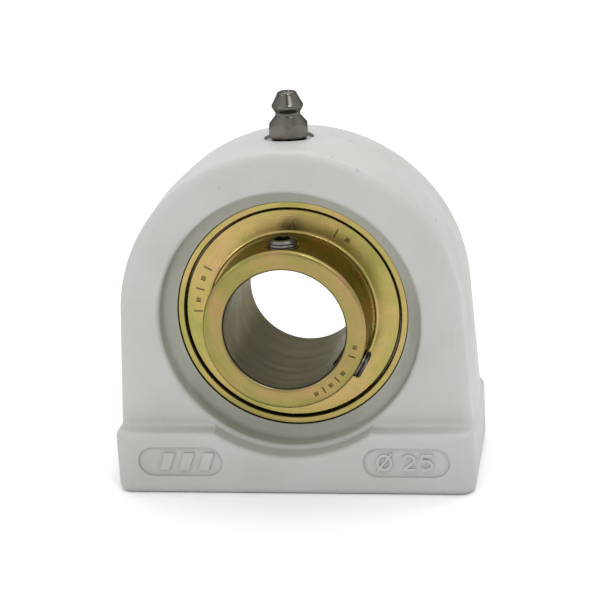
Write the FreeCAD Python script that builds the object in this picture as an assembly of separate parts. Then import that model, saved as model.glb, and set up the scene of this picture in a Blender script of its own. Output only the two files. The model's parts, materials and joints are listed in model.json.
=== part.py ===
import FreeCAD, Part
import math
import os

# Tapped-base ball bearing unit: a moulded housing with a spherical seat, holding a
# self-aligning set-screw insert bearing. Millimetres. +Z up, shaft along Y, front is -Y.
# Origin: middle of the flat mounting base, below the shaft centre.

V = FreeCAD.Vector

# ---- driving dimensions -------------------------------------------------------------
H = 36.5              # base to shaft centre
BASE_L = 76.0         # base length, along X
BASE_W = 38.0         # base width, along Y
BASE_T = 13.6         # height of the thick foot
BODY_W = 28.4         # thickness of the arched body, along Y
ARCH_R = 36.4         # outer radius of the arch at its middle
ARCH_DRAFT = 0.5      # how much the arch radius falls at the two faces
WALL_X = 38.6         # half width the body walls would reach at the base
RECESS_R = 27.3       # cover recess radius
RECESS_FLOOR = 9.0    # recess floor, distance from the middle plane
CLEAR_R = 28.25       # clearance cut in the foot round the cover
SEAT_R = 26.05        # spherical seat radius
INSERT_X = 25.4       # threaded inserts, half spacing
INSERT_HOLE_R = 3.97  # tapped hole wall, 3/8-16 UNC minor
INSERT_DEPTH = 12.0

BORE_R = 12.7         # shaft bore
RING_R = 17.0         # inner ring outside
FRONT = -19.8         # inner ring, set screw end
BACK = 14.3           # inner ring, other end
OUTER_R = 26.0        # spherical outside of outer ring
OUTER_HALF = 8.5      # half width of outer ring
LAND_R = 22.9         # outer ring mouth
SHOULDER_R = 22.1     # outer ring shoulder
PITCH_R = 19.5        # ball pitch radius
BALL_R = 3.969        # 5/16 inch ball
GROOVE_R = 4.13       # raceway groove radius
BALLS = 9
SCREW_Y = -15.2       # set screws, along the shaft
SCREW_R = 3.1
SCREW_HOLE_R = 3.17
SCREW_LEN = 5.6
SCREW_ANGLES = (90.0, -30.0)
STOP_BALL_R = 1.0
STOP_BALL_AT = 25.8

NIPPLE_Z = H + ARCH_R - 1.1    # spot face under the nipple's hexagon
NIPPLE_HEX = 7.94              # across flats
NIPPLE_TURN = 37               # angle at which the tightened hexagon stops, degrees

OUT = "parts"
os.makedirs(OUT, exist_ok=True)


def save(shape, name):
    shape.exportStep(os.path.join(OUT, name + ".step"))
    sol = shape.Solids
    ok = all(s.isValid() and s.Volume > 0 for s in sol)
    print(name, len(sol), "solids", "ok" if ok else "BAD", round(sum(s.Volume for s in sol), 2))


def one(shape):
    """The single solid of a boolean result."""
    shape = shape.removeSplitter()
    return shape.Solids[0] if len(shape.Solids) == 1 else Part.makeCompound(shape.Solids)


def turn(points, close=True):
    """Solid of revolution about the shaft axis. Points are (y, r), or ('arc', mid, end)."""
    edges = []
    last = points[0]
    for p in points[1:] + ([points[0]] if close else []):
        a = V(last[1], last[0], 0)
        if len(p) == 3 and p[0] == "arc":
            m, e = V(p[1][1], p[1][0], 0), V(p[2][1], p[2][0], 0)
            edges.append(Part.Arc(a, m, e).toShape())
            last = p[2]
        else:
            b = V(p[1], p[0], 0)
            if a.distanceToPoint(b) > 1e-7:
                edges.append(Part.LineSegment(a, b).toShape())
            last = p
    face = Part.Face(Part.Wire(edges))
    s = face.revolve(V(0, 0, 0), V(0, 1, 0), 360)
    if s.Volume < 0:
        s.reverse()
    s.translate(V(0, 0, H))
    return Part.Solid(s.Shells[0]) if s.ShapeType != "Solid" else s


def turn_z(points, cx, cy):
    """Solid of revolution about a vertical axis. Points are (z, r), or ('arc', mid, end)."""
    edges = []
    last = points[0]
    for p in points[1:] + [points[0]]:
        a = V(last[1], 0, last[0])
        if len(p) == 3 and p[0] == "arc":
            m, e = V(p[1][1], 0, p[1][0]), V(p[2][1], 0, p[2][0])
            edges.append(Part.Arc(a, m, e).toShape())
            last = p[2]
        else:
            b = V(p[1], 0, p[0])
            if a.distanceToPoint(b) > 1e-7:
                edges.append(Part.LineSegment(a, b).toShape())
            last = p
    face = Part.Face(Part.Wire(edges))
    s = face.revolve(V(0, 0, 0), V(0, 0, 1), 360)
    if s.Volume < 0:
        s.reverse()
    s.translate(V(cx, cy, 0))
    return s


def cyl_y(r, y0, y1, x=0.0, z=H):
    return Part.makeCylinder(r, y1 - y0, V(x, y0, z), V(0, 1, 0))


def cyl_z(r, z0, z1, x=0.0, y=0.0):
    return Part.makeCylinder(r, z1 - z0, V(x, y, z0), V(0, 0, 1))


def fillet(shape, radius, pick, label):
    """Fillets the edges that pick accepts; keeps the shape if the fillet fails."""
    edges = [e for e in shape.Edges if pick(e)]
    if not edges:
        print("no edges for", label)
        return shape
    try:
        out = shape.makeFillet(radius, edges)
        if out.isValid() and out.Solids and abs(out.Volume - shape.Volume) < 0.2 * shape.Volume:
            return out
    except Exception as err:  # the kernel reports some edge sets as not possible
        print("fillet", label, "failed:", err)
        return shape
    print("fillet", label, "not valid")
    return shape


# ---- housing ------------------------------------------------------------------------
def arch_wire(y, r, wx):
    """Outline of the arched body at one y: half circle on two slightly splayed walls."""
    # tangent points of the two walls on the arch, from foot points (+-wx, 0)
    fx, fz = wx, 0.0
    d = math.hypot(fx, H)
    base = math.atan2(-H, fx)
    t = base + math.acos(r / d)
    tx, tz = r * math.cos(t), H + r * math.sin(t)
    pts = [V(-fx, y, fz), V(fx, y, fz), V(tx, y, tz), V(-tx, y, tz)]
    return Part.Wire([
        Part.LineSegment(pts[0], pts[1]).toShape(),
        Part.LineSegment(pts[1], pts[2]).toShape(),
        Part.Arc(pts[2], V(0, y, H + r), pts[3]).toShape(),
        Part.LineSegment(pts[3], pts[0]).toShape(),
    ])


def stadium(cx, cz, length, height, y0, y1):
    r = height / 2
    a, b = cx - length / 2 + r, cx + length / 2 - r
    w = Part.Wire([
        Part.LineSegment(V(a, y0, cz - r), V(b, y0, cz - r)).toShape(),
        Part.Arc(V(b, y0, cz - r), V(b + r, y0, cz), V(b, y0, cz + r)).toShape(),
        Part.LineSegment(V(b, y0, cz + r), V(a, y0, cz + r)).toShape(),
        Part.Arc(V(a, y0, cz + r), V(a - r, y0, cz), V(a, y0, cz - r)).toShape(),
    ])
    return Part.Face(w).extrude(V(0, y1 - y0, 0))


def stroke(points, w):
    """Flat bar of width w along a polyline in the XZ plane, as a list of faces."""
    out = []
    for (x0, z0), (x1, z1) in zip(points, points[1:]):
        d = math.hypot(x1 - x0, z1 - z0)
        ux, uz = (x1 - x0) / d, (z1 - z0) / d
        nx, nz = -uz * w / 2, ux * w / 2
        ex, ez = ux * w * 0.28, uz * w * 0.28
        q = [(x0 - ex + nx, z0 - ez + nz), (x1 + ex + nx, z1 + ez + nz), (x1 + ex - nx, z1 + ez - nz), (x0 - ex - nx, z0 - ez - nz)]
        q.append(q[0])
        out.append(Part.Face(Part.makePolygon([V(x, 0, z) for x, z in q])))
    return out


def arc_points(cx, cz, rx, rz, a0, a1, n):
    return [(cx + rx * math.cos(math.radians(a0 + (a1 - a0) * i / n)), cz + rz * math.sin(math.radians(a0 + (a1 - a0) * i / n))) for i in range(n + 1)]


def size_mark(cx, cz, h):
    """Diameter sign and the digits 2 and 5, as one list of fused flat faces."""
    w, r = 0.55, h / 2 - 0.28
    faces = []
    # diameter sign
    x = cx - 4.6
    ring = stroke(arc_points(x, cz, r * 0.92, r, 0, 360, 20), w)
    faces += ring + stroke([(x - 1.55, cz - 2.0), (x + 1.55, cz + 2.0)], w * 0.8)
    # 2
    x = cx + 0.6
    faces += stroke(arc_points(x, cz + r * 0.42, 1.15, r * 0.58, 165, -35, 9) + [(x - 1.2, cz - r), (x + 1.25, cz - r)], w)
    # 5
    x = cx + 4.2
    faces += stroke([(x + 1.1, cz + r), (x - 0.85, cz + r), (x - 1.0, cz + 0.25)] + arc_points(x - 0.05, cz - r * 0.36, 1.2, r * 0.64, 125, -140, 10), w)
    fused = faces[0].multiFuse(faces[1:]).removeSplitter()
    return fused.Faces


def build_housing():
    hw = BODY_W / 2
    front = Part.makeLoft([arch_wire(-hw, ARCH_R - ARCH_DRAFT, WALL_X - 0.35), arch_wire(0, ARCH_R, WALL_X)], True)
    back = Part.makeLoft([arch_wire(0, ARCH_R, WALL_X), arch_wire(hw, ARCH_R - ARCH_DRAFT, WALL_X - 0.35)], True)
    body = front.fuse(back)
    body = body.removeSplitter()
    # the body ends inside the foot
    body = body.common(Part.makeBox(120, 60, 120, V(-60, -30, BASE_T - 2.2)))
    # soft edge round the arch on both faces
    body = fillet(body, 2.2, lambda e: all(abs(abs(v.Y) - hw) < 1e-4 for v in e.Vertexes)
                  and max(v.Z for v in e.Vertexes) > BASE_T, "arch edge")

    foot = Part.makeBox(BASE_L, BASE_W, BASE_T, V(-BASE_L / 2, -BASE_W / 2, 0))

    def upright(e):
        return len(e.Vertexes) == 2 and abs(e.Vertexes[0].Z - e.Vertexes[1].Z) > 5 and e.Length > BASE_T - 0.01

    foot = fillet(foot, 3.2, upright, "foot corners")
    for s in (-1, 1):
        a, b = sorted((s * hw, s * (BASE_W / 2 + 2)))
        foot = foot.cut(cyl_y(CLEAR_R, a, b))

    def foot_top(e):
        outer = all(v.Z > BASE_T - 1e-4 for v in e.Vertexes) and not all(abs(v.Y) < hw + 1e-3 for v in e.Vertexes)
        if outer and len(e.Vertexes) == 2 and abs(e.Vertexes[0].Y - e.Vertexes[1].Y) > 3:
            # short edges of the clearance cut stay sharp, the two ends of the foot do not
            outer = abs(e.Vertexes[0].X) > 30
        rim = isinstance(e.Curve, Part.Circle) and abs(e.Curve.Radius - CLEAR_R) < 0.01 and abs(abs(e.Curve.Center.y) - BASE_W / 2) < 0.01
        return outer or rim

    foot = fillet(foot, 1.3, foot_top, "foot top")
    foot = fillet(foot, 1.6, lambda e: all(v.Z < 1e-4 for v in e.Vertexes), "foot bottom")

    h = body.fuse(foot).removeSplitter()
    h = one(h)

    # ledge where the foot meets the body face
    def ledge(e):
        return (len(e.Vertexes) == 2 and abs(e.Vertexes[0].Z - BASE_T) < 1e-3 and abs(e.Vertexes[1].Z - BASE_T) < 1e-3
                and abs(abs(e.Vertexes[0].Y) - hw) < 0.5 and abs(abs(e.Vertexes[1].Y) - hw) < 0.5 and e.Length > 8)

    h = fillet(h, 1.0, ledge, "ledge")

    # cover recess and its clearance in the foot, both faces
    for s in (-1, 1):
        a, b = sorted((s * RECESS_FLOOR, s * (BASE_W / 2 + 2)))
        h = h.cut(cyl_y(RECESS_R, a, b))
        a, b = sorted((s * hw, s * (BASE_W / 2 + 2)))
        h = h.cut(cyl_y(CLEAR_R, a, b))
    h = one(h)

    def circle_at(e, r, y):
        c = e.Curve
        return (isinstance(c, Part.Circle) and abs(c.Radius - r) < 0.02 and abs(abs(c.Center.y) - y) < 0.02
                and abs(abs(c.Axis.y) - 1) < 1e-6)

    h = fillet(h, 0.9, lambda e: circle_at(e, RECESS_R, hw), "recess rim")
    h = fillet(h, 1.2, lambda e: circle_at(e, RECESS_R, RECESS_FLOOR), "recess floor")

    # spherical seat
    ball = Part.makeSphere(SEAT_R, V(0, 0, H))
    slab = Part.makeBox(80, 2 * RECESS_FLOOR + 1, 80, V(-40, -RECESS_FLOOR - 0.5, H - 40))
    h = h.cut(ball.common(slab))
    # two loading slots at the back, the width of the outer ring
    slot_h = 2 * OUTER_HALF + 0.5
    slot = cyl_y(SEAT_R, 0, RECESS_FLOOR + 1).common(Part.makeBox(80, 20, slot_h, V(-40, -1, H - slot_h / 2)))
    h = h.cut(slot)
    # grease groove round the seat, and the drilled way down from the nipple
    groove = turn([(-1.1, 25.0), (1.1, 25.0), (1.1, 26.5), (0.8, 26.8), (-0.8, 26.8), (-1.1, 26.5)])
    h = h.cut(groove)
    h = h.cut(cyl_z(1.6, H + 24, NIPPLE_Z))
    h = h.cut(cyl_z(3.1, NIPPLE_Z - 5.2, NIPPLE_Z + 2))
    h = h.cut(turn_z([(NIPPLE_Z - 0.9, 0.0), (NIPPLE_Z - 0.9, 3.0), (NIPPLE_Z, 3.8), (NIPPLE_Z + 3, 3.8), (NIPPLE_Z + 3, 0.0)], 0, 0))
    h = h.cut(cyl_z(5.2, NIPPLE_Z, NIPPLE_Z + 5))
    # axial groove for the stop ball, at the bottom of the seat
    sg = Part.makeCylinder(STOP_BALL_R + 0.12, 5.0, V(0, -2.5, H - STOP_BALL_AT), V(0, 1, 0))
    sg = sg.fuse(Part.makeSphere(STOP_BALL_R + 0.12, V(0, -2.5, H - STOP_BALL_AT)))
    sg = sg.fuse(Part.makeSphere(STOP_BALL_R + 0.12, V(0, 2.5, H - STOP_BALL_AT)))
    h = h.cut(sg)
    h = one(h)

    # two shallow oval panels on the foot's front, each with plain raised shapes
    zc = 7.3
    for sx in (-1, 1):
        h = h.cut(stadium(sx * 23.9, zc, 18.2, 6.5, -BASE_W / 2 - 1, -BASE_W / 2 + 0.55))
    y0, y1 = -BASE_W / 2 + 0.1, -BASE_W / 2 + 1.0
    raised = []
    for k in range(3):       # left: three leaning bars
        x = -28.6 + 4.2 * k
        w = Part.makePolygon([V(x, y0, zc - 1.9), V(x + 2.2, y0, zc - 1.9), V(x + 3.6, y0, zc + 1.9), V(x + 1.4, y0, zc + 1.9), V(x, y0, zc - 1.9)])
        raised.append(Part.Face(w).extrude(V(0, y1 - y0, 0)))
    # right: the bore size mark, a diameter sign and two digits
    for face in size_mark(23.9, zc, 3.7):
        raised.append(face.extrude(V(0, y1 - y0, 0)).translated(V(0, y0, 0)))
    for r in raised:
        h = h.fuse(r)
    h = one(h)

    # pockets for the moulded-in threaded inserts
    for sx in (-1, 1):
        h = h.cut(insert_body(sx).fuse(cyl_z(INSERT_HOLE_R, 0.0, INSERT_DEPTH, sx * INSERT_X)))
    return one(h)


def insert_body(sx):
    """Blank of a threaded insert: a hexagon barrel with a retaining groove."""
    pts = [V(sx * INSERT_X + 7.6 * math.cos(math.radians(a)), 7.6 * math.sin(math.radians(a)), 0) for a in range(30, 391, 60)]
    hexa = Part.Face(Part.makePolygon(pts)).extrude(V(0, 0, INSERT_DEPTH + 1.5))
    ring = cyl_z(9, 4.4, 7.2, sx * INSERT_X).cut(cyl_z(5.9, 4.4, 7.2, sx * INSERT_X))
    return hexa.cut(ring)


def build_insert(sx):
    s = insert_body(sx)
    s = s.cut(cyl_z(INSERT_HOLE_R, -1, INSERT_DEPTH, sx * INSERT_X))
    return one(s)


# ---- grease nipple ------------------------------------------------------------------
def build_nipple():
    z = NIPPLE_Z
    ball_z = z + 8.0
    body = turn_z([
        (z - 4.8, 0.0), (z - 4.8, 2.6), (z - 4.4, 3.0), (z + 0.35, 3.0), (z + 0.35, 3.4), (z + 1.5, 4.62),
        (z + 3.05, 4.62), (z + 5.3, 2.75), ("arc", (z + 5.85, 2.62), (z + 6.3, 2.78)), (z + 7.0, 3.22),
        ("arc", (z + 7.45, 3.32), (z + 7.85, 3.16)), (z + 9.75, 2.15), ("arc", (z + 10.25, 1.85), (z + 10.4, 1.45)), (z + 10.4, 0.0),
    ], 0, 0)
    pts = [V(NIPPLE_HEX / math.sqrt(3) * math.cos(math.radians(a)), NIPPLE_HEX / math.sqrt(3) * math.sin(math.radians(a)), z - 6) for a in range(NIPPLE_TURN, NIPPLE_TURN + 361, 60)]
    hexa = Part.Face(Part.makePolygon(pts)).extrude(V(0, 0, 20))
    top = body.common(hexa)
    # passage: inlet, ball chamber, spring bore
    inner = turn_z([
        (z - 6, 0.0), (z - 6, 0.8), (z - 2.0, 0.8), (z - 2.0, 1.45), (z + 8.6, 1.45), (z + 9.3, 0.75), (z + 9.9, 0.75), (z + 10.5, 0.95), (z + 10.5, 0.0),
    ], 0, 0)
    return one(top.cut(inner))


CHECK_R = 1.2
CHECK_Z = NIPPLE_Z + 8.33


def build_check_ball():
    return Part.makeSphere(CHECK_R, V(0, 0, CHECK_Z))


def build_spring():
    """Closed-section compression spring under the check ball."""
    turns, coil, wire = 7, 0.98, 0.19
    z0 = NIPPLE_Z - 1.75
    height = CHECK_Z - 0.99 - z0
    pitch = height / turns
    helix = Part.makeHelix(pitch, height, coil)
    helix.translate(V(0, 0, z0))
    start = V(coil, 0, z0)
    prof = Part.Wire(Part.makeCircle(wire, start, V(0, coil, pitch / (2 * math.pi))))
    pipe = Part.Wire(helix).makePipeShell([prof], True, True)
    return pipe


# ---- insert bearing -----------------------------------------------------------------
def build_outer_ring():
    e = OUTER_HALF
    rr = math.sqrt(OUTER_R ** 2 - (e - 0.6) ** 2)
    half = math.sqrt(GROOVE_R ** 2 - (SHOULDER_R - (PITCH_R + 0.03 + BALL_R - GROOVE_R)) ** 2)
    gc = PITCH_R + 0.03 + BALL_R - GROOVE_R
    s = turn([
        (-e, LAND_R + 0.25), (-e, rr - 0.55), (-e + 0.6, rr), ("arc", (0.0, OUTER_R), (e - 0.6, rr)), (e, rr - 0.55), (e, LAND_R + 0.25),
        (e - 0.25, LAND_R), (5.1, LAND_R), (5.1, SHOULDER_R), (half, SHOULDER_R), ("arc", (0.0, gc + GROOVE_R), (-half, SHOULDER_R)),
        (-5.1, SHOULDER_R), (-5.1, LAND_R), (-e + 0.25, LAND_R),
    ])
    # dimple for the stop ball, and two grease holes clear of the raceway
    s = s.cut(Part.makeSphere(STOP_BALL_R + 0.03, V(0, 0, H - STOP_BALL_AT)))
    for a in (60, 180, 300):
        t = math.radians(a)
        d = V(math.cos(t), 0, math.sin(t))
        s = s.cut(Part.makeCylinder(0.6, 8, V(0, 3.9, H) + d * 20, d))
    return one(s)


def build_inner_ring():
    gc = PITCH_R - 0.03 - BALL_R + GROOVE_R
    half = math.sqrt(GROOVE_R ** 2 - (gc - RING_R) ** 2)
    c, k = 0.9, 0.8
    s = turn([
        (FRONT, BORE_R + k), (FRONT, RING_R - c), ("arc", (FRONT + 0.27, RING_R - 0.27), (FRONT + c, RING_R)), (-half, RING_R),
        ("arc", (0.0, gc - GROOVE_R), (half, RING_R)), (BACK - c, RING_R), ("arc", (BACK - 0.27, RING_R - 0.27), (BACK, RING_R - c)),
        (BACK, BORE_R + k), ("arc", (BACK - 0.234, BORE_R + 0.234), (BACK - k, BORE_R)), (FRONT + k, BORE_R), ("arc", (FRONT + 0.234, BORE_R + 0.234), (FRONT, BORE_R + k)),
    ])
    for a in SCREW_ANGLES:
        t = math.radians(a)
        d = V(math.cos(t), 0, math.sin(t))
        base = V(0, SCREW_Y, H)
        s = s.cut(Part.makeCylinder(SCREW_HOLE_R, 12, base + d * 9, d))
        # countersink at the outside
        s = s.cut(Part.makeCone(SCREW_HOLE_R - 0.2, SCREW_HOLE_R + 0.9, 1.1, base + d * (RING_R - 0.75), d))
    # generic engraved marks on the front end face: short bars
    for i, a in enumerate((-66, -59, -52, -45, -38, -22, -14)):
        t = math.radians(a)
        r = (BORE_R + RING_R) / 2 + 0.05
        w, l = (0.34, 1.5) if i % 2 else (0.9, 0.9)
        b = Part.makeBox(l, 0.4, w, V(-l / 2, -0.2, -w / 2))
        b.rotate(V(0, 0, 0), V(0, 1, 0), -a)
        b.translate(V(r * math.cos(t), FRONT, H + r * math.sin(t)))
        s = s.cut(b)
    return one(s)


def build_slinger(side):
    """Pressed slinger: flat plate with a short collar on the inner ring and a turned-in rim."""
    pts = [
        (-7.35, RING_R), (-8.95, RING_R), (-8.95, RING_R + 0.45), ("arc", (-8.35, RING_R + 0.62), (-8.1, RING_R + 1.2)), (-8.1, 22.35),
        ("arc", (-8.03, 22.53), (-7.85, 22.6)), (-6.95, 22.6), (-6.95, 22.0), (-7.35, 21.9),
    ]
    if side > 0:
        pts = [("arc", (-p[1][0], p[1][1]), (-p[2][0], p[2][1])) if p[0] == "arc" else (-p[0], p[1]) for p in pts]
    s = turn(pts)
    if side < 0:
        # generic engraved marks: dots and short bars, in two groups
        for i, a in enumerate((150, 157, 164, 171, 178, 52, 60)):
            t = math.radians(a)
            r = 20.1
            if i in (0, 2, 4, 6):
                w, l = 0.36, 1.9
            else:
                w, l = 1.0, 1.0
            b = Part.makeBox(l, 0.4, w, V(-l / 2, -0.2, -w / 2))
            b.rotate(V(0, 0, 0), V(0, 1, 0), -a)
            b.translate(V(r * math.cos(t), -8.1, H + r * math.sin(t)))
            s = s.cut(b)
    return one(s)


def mirror_pts(pts, side):
    if side < 0:
        return pts
    return [("arc", (-p[1][0], p[1][1]), (-p[2][0], p[2][1])) if p[0] == "arc" else (-p[0], p[1]) for p in pts]


def build_seal_core(side):
    return one(turn(mirror_pts([(-5.1, LAND_R), (-5.1, 19.0), (-5.6, 19.0), (-5.6, 22.2), (-6.2, 22.2), (-6.2, LAND_R)], side)))


def build_seal_lip(side):
    return one(turn(mirror_pts([(-5.6, 22.2), (-5.6, 19.0), (-5.1, 19.0), (-5.1, 18.6), (-5.5, 17.7), (-5.9, RING_R + 0.06), (-6.15, RING_R + 0.06), (-6.2, 18.2),
                                (-6.2, 19.6), (-6.6, 20.3), (-6.6, 20.7), (-6.2, 21.0), (-6.2, 22.2)], side)))


def ball_centre(k):
    t = math.radians(90 + 20 + 360 / BALLS * k)
    return V(PITCH_R * math.cos(t), 0, H + PITCH_R * math.sin(t))


def build_cage(side):
    r1, r2, t, pocket = 17.95, 21.15, 0.7, 4.1
    ring = cyl_y(r2, 0, t).cut(cyl_y(r1, -1, t + 1))
    zone = cyl_y(r2, 0, 6).cut(cyl_y(r1, -1, 7))
    out = ring
    for k in range(BALLS):
        out = out.fuse(Part.makeSphere(pocket + t, ball_centre(k)).common(zone))
    for k in range(BALLS):
        out = out.cut(Part.makeSphere(pocket, ball_centre(k)))
        t2 = math.radians(90 + 20 + 360 / BALLS * (k + 0.5))
        out = out.cut(Part.makeCylinder(0.75, 3, V(PITCH_R * math.cos(t2), -1, H + PITCH_R * math.sin(t2)), V(0, 1, 0)))
    out = one(out)
    if side < 0:
        out = out.mirror(V(0, 0, H), V(0, 1, 0))
    return out


def build_rivets():
    out = []
    for k in range(BALLS):
        t2 = math.radians(90 + 20 + 360 / BALLS * (k + 0.5))
        x, z = PITCH_R * math.cos(t2), H + PITCH_R * math.sin(t2)
        s = cyl_y(0.75, -0.7, 0.7, x, z)
        for sgn in (-1, 1):
            head = Part.makeSphere(1.3, V(x, sgn * 0.02, z)).common(cyl_y(1.25, 0.7, 1.4, x, z) if sgn > 0 else cyl_y(1.25, -1.4, -0.7, x, z))
            s = s.fuse(head)
        out.append(one(s))
    return Part.makeCompound(out)


def build_screw(angle):
    """Cup-point socket set screw along a radius; its tip is level with the bore wall."""
    r0 = BORE_R + 0.04
    L = SCREW_LEN
    t = math.radians(angle)
    prof = [(0.0, 0.0), (0.55, 1.1), (0.0, 1.75), (0.0, 2.15), (0.75, 2.75)]
    # shallow thread rings, turned into the outside
    z = 0.95
    while z < L - 0.75:
        prof += [(z, SCREW_R), (z + 0.27, SCREW_R - 0.24), (z + 0.54, SCREW_R)]
        z += 0.72
    prof += [(L - 0.45, SCREW_R), (L, SCREW_R - 0.5), (L, 0.0)]
    edges = []
    pts = [V(r, 0, h) for h, r in prof]
    for a, b in zip(pts, pts[1:] + pts[:1]):
        if a.distanceToPoint(b) > 1e-7:
            edges.append(Part.LineSegment(a, b).toShape())
    s = Part.Face(Part.Wire(edges)).revolve(V(0, 0, 0), V(0, 0, 1), 360)
    if s.Volume < 0:
        s.reverse()
    af = 3.18
    hp = [V(af / math.sqrt(3) * math.cos(math.radians(a)), af / math.sqrt(3) * math.sin(math.radians(a)), L - 3.0) for a in range(0, 361, 60)]
    s = s.cut(Part.Face(Part.makePolygon(hp)).extrude(V(0, 0, 4)))
    s = s.cut(Part.makeCone(1.2, 2.15, 0.6, V(0, 0, L - 0.32), V(0, 0, 1)))
    s = one(s)
    # local z becomes the radius direction
    s.rotate(V(0, 0, 0), V(0, 1, 0), 90 - angle)
    s.translate(V(r0 * math.cos(t), SCREW_Y, H + r0 * math.sin(t)))
    return s


save(build_housing(), "housing")
save(build_insert(-1), "base_insert_left")
save(build_insert(1), "base_insert_right")
save(build_nipple(), "grease_nipple")
save(build_check_ball(), "nipple_check_ball")
save(build_spring(), "nipple_spring")
save(Part.makeSphere(STOP_BALL_R, V(0, 0, H - STOP_BALL_AT)), "stop_ball")
save(build_outer_ring(), "outer_ring")
save(build_inner_ring(), "inner_ring")
save(build_slinger(-1), "front_slinger")
save(build_slinger(1), "back_slinger")
for side, name in ((-1, "front"), (1, "back")):
    save(build_seal_core(side), name + "_seal_core")
    save(build_seal_lip(side), name + "_seal_lip")
    save(build_cage(side), name + "_cage_half")
save(build_rivets(), "cage_rivets")
for k in range(BALLS):
    save(Part.makeSphere(BALL_R, ball_centre(k)), "ball_%d" % (k + 1))
for n, a in zip(("set_screw_top", "set_screw_side"), SCREW_ANGLES):
    save(build_screw(a), n)
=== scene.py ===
import math

import bpy
import json
from mathutils import Matrix, Vector

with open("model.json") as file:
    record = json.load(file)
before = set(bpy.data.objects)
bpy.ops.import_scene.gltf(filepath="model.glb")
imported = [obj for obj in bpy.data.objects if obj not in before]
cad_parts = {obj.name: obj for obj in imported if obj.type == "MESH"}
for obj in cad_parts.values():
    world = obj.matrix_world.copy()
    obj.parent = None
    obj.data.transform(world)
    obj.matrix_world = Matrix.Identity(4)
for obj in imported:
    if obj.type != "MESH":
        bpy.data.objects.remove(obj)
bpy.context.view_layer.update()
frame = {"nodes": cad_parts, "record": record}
N = frame["nodes"]


H = 0.0365       # shaft axis height


# ---- node helpers ----------------------------------------------------------------
def new_mat(name, color, metallic=0.0, rough=0.5):
    m = bpy.data.materials.new(name)
    m.use_nodes = True
    b = m.node_tree.nodes["Principled BSDF"]
    b.inputs["Base Color"].default_value = (*color, 1)
    b.inputs["Metallic"].default_value = metallic
    b.inputs["Roughness"].default_value = rough
    return m, m.node_tree, b


def add(t, kind, **kw):
    n = t.nodes.new(kind)
    for k, v in kw.items():
        setattr(n, k, v)
    return n


def noise(t, vec, scale, detail=3.0, rough=0.5, distort=0.0):
    n = add(t, "ShaderNodeTexNoise")
    n.inputs["Scale"].default_value = scale
    n.inputs["Detail"].default_value = detail
    n.inputs["Roughness"].default_value = rough
    n.inputs["Distortion"].default_value = distort
    t.links.new(vec, n.inputs["Vector"])
    return n.outputs["Fac"]


def ramp(t, fac, stops):
    r = add(t, "ShaderNodeValToRGB")
    el = r.color_ramp.elements
    while len(el) < len(stops):
        el.new(0.5)
    for e, (p, c) in zip(el, stops):
        e.position = p
        e.color = c if len(c) == 4 else (*c, 1)
    t.links.new(fac, r.inputs["Fac"])
    return r.outputs["Color"]


def mapping(t, scale=(1, 1, 1), loc=(0, 0, 0)):
    tc = add(t, "ShaderNodeTexCoord")
    mp = add(t, "ShaderNodeMapping")
    mp.inputs["Scale"].default_value = scale
    mp.inputs["Location"].default_value = loc
    t.links.new(tc.outputs["Object"], mp.inputs["Vector"])
    return mp.outputs["Vector"]


def math_node(t, op, a, b=None):
    n = add(t, "ShaderNodeMath", operation=op)
    for i, v in enumerate((a, b)):
        if v is None:
            continue
        if isinstance(v, (int, float)):
            n.inputs[i].default_value = v
        else:
            t.links.new(v, n.inputs[i])
    return n.outputs[0]


def polar(t, sr, st, sy):
    """Coordinates about the shaft axis: radius, angle (as a point on a circle) and length."""
    tc = add(t, "ShaderNodeTexCoord")
    sp = add(t, "ShaderNodeSeparateXYZ")
    t.links.new(tc.outputs["Object"], sp.inputs[0])
    x, y, z = sp.outputs[0], sp.outputs[1], sp.outputs[2]
    dz = math_node(t, "SUBTRACT", z, H)
    r = math_node(t, "SQRT", math_node(t, "ADD", math_node(t, "MULTIPLY", x, x), math_node(t, "MULTIPLY", dz, dz)))
    ang = math_node(t, "ARCTAN2", dz, x)
    cb = add(t, "ShaderNodeCombineXYZ")
    t.links.new(math_node(t, "MULTIPLY", r, sr), cb.inputs[0])
    t.links.new(math_node(t, "MULTIPLY", math_node(t, "SINE", ang), st), cb.inputs[1])
    t.links.new(math_node(t, "ADD", math_node(t, "MULTIPLY", y, sy), math_node(t, "MULTIPLY", math_node(t, "COSINE", ang), st)), cb.inputs[2])
    return cb.outputs[0], r, ang


def bump(t, bsdf, height, strength, dist):
    n = add(t, "ShaderNodeBump")
    n.inputs["Strength"].default_value = strength
    n.inputs["Distance"].default_value = dist
    t.links.new(height, n.inputs["Height"])
    t.links.new(n.outputs["Normal"], bsdf.inputs["Normal"])


def mix(t, fac, a, b):
    n = add(t, "ShaderNodeMix", data_type="RGBA")
    for sock, v in ((n.inputs["Factor"], fac), (n.inputs["A"], a), (n.inputs["B"], b)):
        pass
    fi, ai, bi = n.inputs[0], n.inputs[6], n.inputs[7]
    for s, v in ((fi, fac), (ai, a), (bi, b)):
        if isinstance(v, (int, float)):
            s.default_value = v
        elif isinstance(v, tuple):
            s.default_value = (*v, 1) if len(v) == 3 else v
        else:
            t.links.new(v, s)
    return n.outputs[2]


def band(t, val, lo, hi, soft):
    """1 between lo and hi, 0 outside, over a soft edge."""
    up = add(t, "ShaderNodeMapRange")
    up.inputs["From Min"].default_value = lo - soft
    up.inputs["From Max"].default_value = lo
    down = add(t, "ShaderNodeMapRange")
    down.inputs["From Min"].default_value = hi
    down.inputs["From Max"].default_value = hi + soft
    down.inputs["To Min"].default_value = 1.0
    down.inputs["To Max"].default_value = 0.0
    t.links.new(val, up.inputs["Value"])
    t.links.new(val, down.inputs["Value"])
    return math_node(t, "MULTIPLY", up.outputs[0], down.outputs[0])


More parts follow.
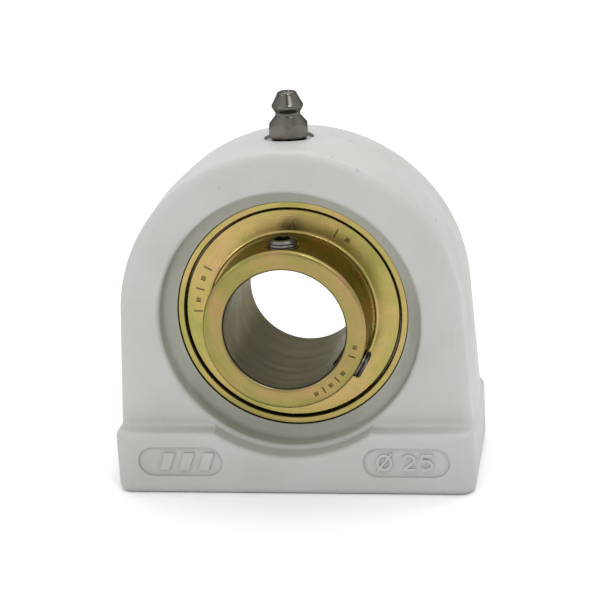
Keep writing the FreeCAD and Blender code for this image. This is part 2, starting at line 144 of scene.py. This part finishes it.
def length_y(t):
    tc = add(t, "ShaderNodeTexCoord")
    sp = add(t, "ShaderNodeSeparateXYZ")
    t.links.new(tc.outputs["Object"], sp.inputs[0])
    return math_node(t, "ABSOLUTE", sp.outputs[1]), sp.outputs[2]


# ---- materials -------------------------------------------------------------------
def plastic():
    m, t, b = new_mat("housing_plastic", (0.55, 0.55, 0.52), 0.0, 0.46)
    v = mapping(t)
    big = noise(t, v, 45, 4, 0.6)
    col = ramp(t, big, [(0.3, (0.435, 0.438, 0.414)), (0.55, (0.475, 0.479, 0.46)), (0.75, (0.495, 0.50, 0.486))])
    spots = noise(t, v, 420, 2, 0.5)
    dirt = ramp(t, spots, [(0.22, (0.42, 0.41, 0.36)), (0.3, (1, 1, 1))])
    mx = add(t, "ShaderNodeMix", data_type="RGBA", blend_type="MULTIPLY")
    mx.inputs[0].default_value = 0.35
    t.links.new(col, mx.inputs[6])
    t.links.new(dirt, mx.inputs[7])
    # painted shade: the base colour is darkened inside the bearing recess, where shade falls, and a little on the
    # face around its rim, with a noisy edge
    _, r, ang = polar(t, 1, 1, 1)
    tc = add(t, "ShaderNodeTexCoord")
    sp = add(t, "ShaderNodeSeparateXYZ")
    t.links.new(tc.outputs["Object"], sp.inputs[0])
    wob = math_node(t, "MULTIPLY", noise(t, mapping(t), 90, 4, 0.65), 0.0022)
    rr = math_node(t, "ADD", r, wob)
    out = add(t, "ShaderNodeMapRange")
    out.inputs["From Min"].default_value = 0.0266
    out.inputs["From Max"].default_value = 0.0292
    out.inputs["To Min"].default_value = 1.0
    out.inputs["To Max"].default_value = 0.0
    t.links.new(rr, out.inputs["Value"])
    deep = add(t, "ShaderNodeMapRange")      # only inside the recess, not on the face
    deep.inputs["From Min"].default_value = 0.0136
    deep.inputs["From Max"].default_value = 0.0122
    deep.inputs["To Min"].default_value = 0.45
    deep.inputs["To Max"].default_value = 1.0
    t.links.new(math_node(t, "ABSOLUTE", sp.outputs[1]), deep.inputs["Value"])
    recess_painted_shade = math_node(t, "MULTIPLY", out.outputs[0], deep.outputs[0])
    shade = ramp(t, recess_painted_shade, [(0.0, (1, 1, 1)), (1.0, (0.96, 0.965, 0.88))])
    mg = add(t, "ShaderNodeMix", data_type="RGBA", blend_type="MULTIPLY")
    mg.inputs[0].default_value = 1.0
    t.links.new(mx.outputs[2], mg.inputs[6])
    t.links.new(shade, mg.inputs[7])
    # painted shade: the base colour is darker towards the bottom, on the foot near the floor
    foot_painted_shade = ramp(t, math_node(t, "MULTIPLY", sp.outputs[2], 25.0), [(0.0, (0.87, 0.87, 0.865)), (0.30, (0.915, 0.915, 0.91)), (0.36, (0.98, 0.98, 0.975))])
    mf = add(t, "ShaderNodeMix", data_type="RGBA", blend_type="MULTIPLY")
    mf.inputs[0].default_value = 1.0
    t.links.new(mg.outputs[2], mf.inputs[6])
    t.links.new(foot_painted_shade, mf.inputs[7])
    t.links.new(mf.outputs[2], b.inputs["Base Color"])
    b.inputs["Specular IOR Level"].default_value = 0.4
    rg = ramp(t, noise(t, v, 160, 3, 0.6), [(0.3, (0.42,) * 3), (0.7, (0.54,) * 3)])
    t.links.new(rg, b.inputs["Roughness"])
    bump(t, b, noise(t, v, 1500, 3, 0.6), 0.22, 0.00012)
    return m


def zinc(name, dull=0.0, shade=1.0):
    m, t, b = new_mat(name, (0.5, 0.42, 0.2), 1.0, 0.36)
    pv, r, ang = polar(t, 160, 0.9, 160)
    fine, _, _ = polar(t, 5200, 0.6, 5200)
    v = mapping(t, (1, 1, 1))
    a = noise(t, pv, 1.3, 4, 0.62, 0.6)
    base = ramp(t, a, [(0.28, (0.27, 0.285, 0.07)), (0.42, (0.37, 0.335, 0.095)), (0.52, (0.46, 0.36, 0.12)), (0.62, (0.56, 0.345, 0.165)), (0.76, (0.36, 0.335, 0.10))])
    c = noise(t, v, 60, 7, 0.68, 0.4)
    cloud = ramp(t, c, [(0.32, (0.26, 0.29, 0.07)), (0.5, (0.42, 0.35, 0.115)), (0.66, (0.58, 0.35, 0.18))])
    col = mix(t, 0.5, base, cloud)
    lines = noise(t, fine, 1.0, 2, 0.5)
    dark = ramp(t, lines, [(0.35, (0.93 * shade, 0.92 * shade, 0.90 * shade)), (0.6, (shade, shade, shade))])
    mx = add(t, "ShaderNodeMix", data_type="RGBA", blend_type="MULTIPLY")
    mx.inputs[0].default_value = 1.0
    t.links.new(col, mx.inputs[6])
    t.links.new(dark, mx.inputs[7])
    # painted shade: the base colour is darkened in the engraved marks and in the gaps either side of the outer
    # ring, where shade falls
    ay, _ = length_y(t)
    mark = math_node(t, "MULTIPLY", band(t, ay, 0.00786, 0.00804, 0.00002), band(t, r, 0.0187, 0.0221, 0.0001))
    mark2 = math_node(t, "MULTIPLY", band(t, ay, 0.01954, 0.01974, 0.00002), band(t, r, 0.0138, 0.0161, 0.0001))
    gap = band(t, r, 0.02252, 0.02305, 0.00008)
    rim = band(t, r, 0.02430, 0.02478, 0.00008)
    gap_painted_shade = math_node(t, "MAXIMUM", math_node(t, "MULTIPLY", math_node(t, "MAXIMUM", mark, mark2), 0.62), math_node(t, "MULTIPLY", math_node(t, "MAXIMUM", gap, rim), 0.74))
    color_with_painted_shade = mix(t, gap_painted_shade, mx.outputs[2], (0.035, 0.030, 0.012))
    t.links.new(color_with_painted_shade, b.inputs["Base Color"])
    rg = ramp(t, noise(t, v, 210, 4, 0.6), [(0.3, (0.22 + dull,) * 3), (0.7, (0.34 + dull,) * 3)])
    b.inputs["Specular Tint"].default_value = (0.75, 0.68, 0.45, 1)
    t.links.new(rg, b.inputs["Roughness"])
    bump(t, b, lines, 0.12, 0.00006)
    return m, t, b, r, ang, col


def steel(name, color, rough, fine=900, strength=0.05, spread=0.12):
    m, t, b = new_mat(name, color, 1.0, rough)
    b.inputs["Specular Tint"].default_value = tuple(min(1, 0.3 + c) for c in color) + (1,)
    v = mapping(t)
    n = noise(t, v, fine, 3, 0.6)
    lo, hi = tuple(c * (1 - spread) for c in color), tuple(min(1, c * (1 + spread)) for c in color)
    t.links.new(ramp(t, noise(t, v, 260, 4, 0.6), [(0.3, lo), (0.7, hi)]), b.inputs["Base Color"])
    t.links.new(ramp(t, n, [(0.3, (rough * 0.85,) * 3), (0.7, (rough * 1.15,) * 3)]), b.inputs["Roughness"])
    bump(t, b, n, strength, 0.00008)
    return m


mats = {}
mats["housing_plastic"] = plastic()
mats["zinc_steel"] = zinc("zinc_steel")[0]
# inner ring: plated outside, bare ground steel in the bore
m, t, b, r, ang, col = zinc("ring_steel", 0.02, 0.74)
edge = add(t, "ShaderNodeMapRange")
edge.inputs["From Min"].default_value = 0.01285
edge.inputs["From Max"].default_value = 0.01315
t.links.new(r, edge.inputs["Value"])
mult = b.inputs["Base Color"].links[0].from_socket
bare = ramp(t, noise(t, mapping(t, (60, 900, 60)), 1.0, 4, 0.6), [(0.3, (0.105, 0.098, 0.075)), (0.7, (0.165, 0.152, 0.118))])
t.links.new(mix(t, edge.outputs[0], bare, mult), b.inputs["Base Color"])
b.inputs["Specular Tint"].default_value = (0.52, 0.50, 0.42, 1)
mats["ring_steel"] = m
mats["nipple_steel"] = steel("nipple_steel", (0.14, 0.131, 0.116), 0.17, 700, 0.06, 0.25)
mats["screw_steel"] = steel("screw_steel", (0.19, 0.175, 0.16), 0.24, 700, 0.06, 0.25)
mats["insert_steel"] = steel("insert_steel", (0.48, 0.46, 0.42), 0.36)
mats["ball_steel"] = steel("ball_steel", (0.66, 0.66, 0.65), 0.09, 300, 0.0, 0.02)
mats["spring_steel"] = steel("spring_steel", (0.45, 0.45, 0.44), 0.28)
mats["seal_core_steel"] = steel("seal_core_steel", (0.33, 0.31, 0.26), 0.4)
mats["cage_steel"] = steel("cage_steel", (0.52, 0.5, 0.47), 0.34)
rub, rt, rb = new_mat("seal_rubber", (0.014, 0.014, 0.014), 0.0, 0.6)
bump(rt, rb, noise(rt, mapping(rt), 1800, 2, 0.5), 0.2, 0.00005)
mats["seal_rubber"] = rub

slots = {s["node"]: s["material_slot"] for s in frame["record"]["subparts"]}
for name, o in N.items():
    mat = mats[slots[name]]
    o.data.materials.clear()
    o.data.materials.append(mat)

# ---- stage -----------------------------------------------------------------------
bpy.ops.mesh.primitive_plane_add(size=6, location=(0, 0.6, 0))
floor = bpy.context.object
floor.name = "floor"
fm, ft, fb = new_mat("floor_white", (0.97, 0.97, 0.97), 0.0, 0.75)
fb.inputs["Specular IOR Level"].default_value = 0.1
floor.data.materials.append(fm)

world = bpy.data.worlds.new("studio")
bpy.context.scene.world = world
world.use_nodes = True
wt = world.node_tree
bg = wt.nodes["Background"]
wc = wt.nodes.new("ShaderNodeTexCoord")
ws = wt.nodes.new("ShaderNodeSeparateXYZ")
wt.links.new(wc.outputs["Generated"], ws.inputs[0])
wr = wt.nodes.new("ShaderNodeValToRGB")
wr.color_ramp.elements[0].position = 0.0
wr.color_ramp.elements[0].color = (0.72, 0.725, 0.73, 1)
wr.color_ramp.elements[1].position = 0.9
wr.color_ramp.elements[1].color = (1.0, 1.0, 1.0, 1)
wt.links.new(ws.outputs[2], wr.inputs["Fac"])


def patch(az, el, inner, outer):
    """1 inside a round patch of sky, 0 outside."""
    a_, e_ = math.radians(az), math.radians(el)
    dp = wt.nodes.new("ShaderNodeVectorMath")
    dp.operation = "DOT_PRODUCT"
    dp.inputs[1].default_value = (math.sin(a_) * math.cos(e_), -math.cos(a_) * math.cos(e_), math.sin(e_))
    wt.links.new(wc.outputs["Generated"], dp.inputs[0])
    mr = wt.nodes.new("ShaderNodeMapRange")
    mr.inputs["From Min"].default_value = math.cos(math.radians(outer))
    mr.inputs["From Max"].default_value = math.cos(math.radians(inner))
    wt.links.new(dp.outputs["Value"], mr.inputs["Value"])
    return mr.outputs[0]


side = wt.nodes.new("ShaderNodeValToRGB")
for el_, (pos_, c_) in zip((side.color_ramp.elements[0], side.color_ramp.elements[1], side.color_ramp.elements.new(0.7), side.color_ramp.elements.new(0.3)),
                           ((0.0, 0.80), (1.0, 0.52), (0.68, 1.0), (0.25, 1.0))):
    el_.position = pos_
    el_.color = (c_, c_, c_, 1)
sx = math_node(wt, "MULTIPLY", math_node(wt, "ADD", ws.outputs[0], 1.0), 0.5)
wt.links.new(sx, side.inputs["Fac"])
dim = math_node(wt, "SUBTRACT", 1.0, math_node(wt, "MULTIPLY", patch(9, 38, 8, 14), 0.75))
glow = math_node(wt, "ADD", 1.0, math_node(wt, "MULTIPLY", patch(38, 40, 7, 13), 3.0))
level = math_node(wt, "MULTIPLY", dim, glow)
wm = wt.nodes.new("ShaderNodeMix")
wm.data_type = "RGBA"
wm.blend_type = "MULTIPLY"
wm.inputs[0].default_value = 1.0
wt.links.new(wr.outputs["Color"], wm.inputs[6])
wt.links.new(side.outputs["Color"], wm.inputs[7])
sv = wt.nodes.new("ShaderNodeVectorMath")
sv.operation = "SCALE"
wt.links.new(wm.outputs[2], sv.inputs[0])
wt.links.new(level, sv.inputs["Scale"])
wt.links.new(sv.outputs[0], bg.inputs["Color"])
bg.inputs["Strength"].default_value = 1.18


def softbox(name, loc, target, size, power, size_y=None, color=(1, 1, 1)):
    d = bpy.data.lights.new(name, "AREA")
    d.energy = power
    d.color = color
    d.size = size
    if size_y:
        d.shape = "RECTANGLE"
        d.size_y = size_y
    o = bpy.data.objects.new(name, d)
    o.location = loc
    o.rotation_euler = (Vector(target) - Vector(loc)).to_track_quat("-Z", "Y").to_euler()
    bpy.context.scene.collection.objects.link(o)
    return o


softbox("key", (0.16, -0.34, 0.60), (0, 0, 0.04), 0.06, 0.55)
softbox("left", (-0.40, -0.34, 0.26), (0, 0, 0.04), 0.06, 0.20)
softbox("top", (0.06, 0.24, 0.62), (0, 0.02, 0.04), 0.5, 1.5)

# ---- camera ----------------------------------------------------------------------
AZ, EL, ROLL, DIST, F_PX = 9.6, 17.1, -3.2, 0.425, 1992.0
TARGET = Vector((0.00037, 0, H + 0.00042))
a, e, ro = math.radians(AZ), math.radians(EL), math.radians(ROLL)
back = Vector((math.sin(a) * math.cos(e), -math.cos(a) * math.cos(e), math.sin(e)))
right = (-back).cross(Vector((0, 0, 1))).normalized()
up = right.cross(-back)
cx = right * math.cos(ro) + up * math.sin(ro)
cy = -right * math.sin(ro) + up * math.cos(ro)
cam = bpy.data.cameras.new("camera")
cam.sensor_width = 36
cam.lens = F_PX * 36 / 600
cam.clip_start = 0.01
co = bpy.data.objects.new("camera", cam)
co.matrix_world = Matrix(((cx.x, cy.x, back.x, 0), (cx.y, cy.y, back.y, 0), (cx.z, cy.z, back.z, 0), (0, 0, 0, 1)))
co.matrix_world.translation = TARGET + back * DIST
bpy.context.scene.collection.objects.link(co)
bpy.context.scene.camera = co
bpy.context.scene.view_settings.view_transform = "Standard"
